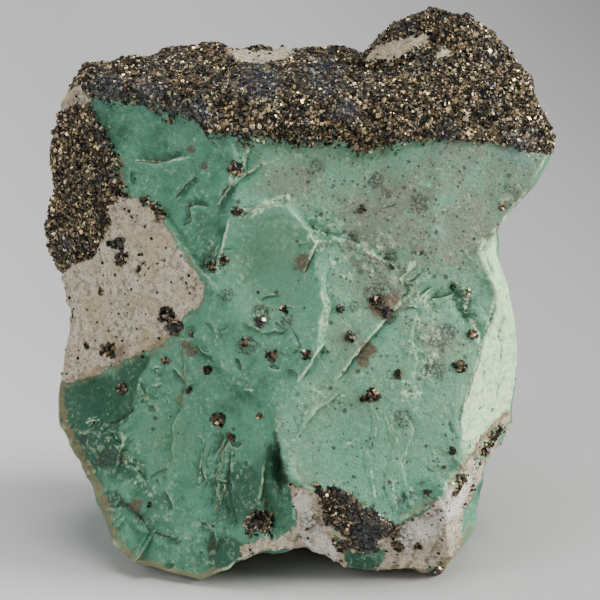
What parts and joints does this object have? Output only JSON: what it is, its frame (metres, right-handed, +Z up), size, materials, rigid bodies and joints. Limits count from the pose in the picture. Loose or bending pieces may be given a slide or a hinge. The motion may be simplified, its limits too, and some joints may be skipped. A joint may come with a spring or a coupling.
{
  "type": "raw variscite specimen",
  "caption": "Rough lump of green variscite with a dark pyrite crust on top and pale matrix on its left flank and under its front edge, standing on its broken base.",
  "frame": {"origin": "the middle of the box round the specimen, on the surface that it stands on", "axes": "+Z up, out of the pyrite crust; +Y from the broken green front to the back; +X from the matrix flank to the bright right flank"},
  "size_m": [0.0618, 0.0418, 0.065],
  "materials": {
    "variscite": "broken massive variscite, waxy to matt, with a rough dark pyrite crust and chalky pale matrix"
  },
  "bodies": {
    "root": {"variscite_specimen": "variscite"}
  },
  "joints": []
}
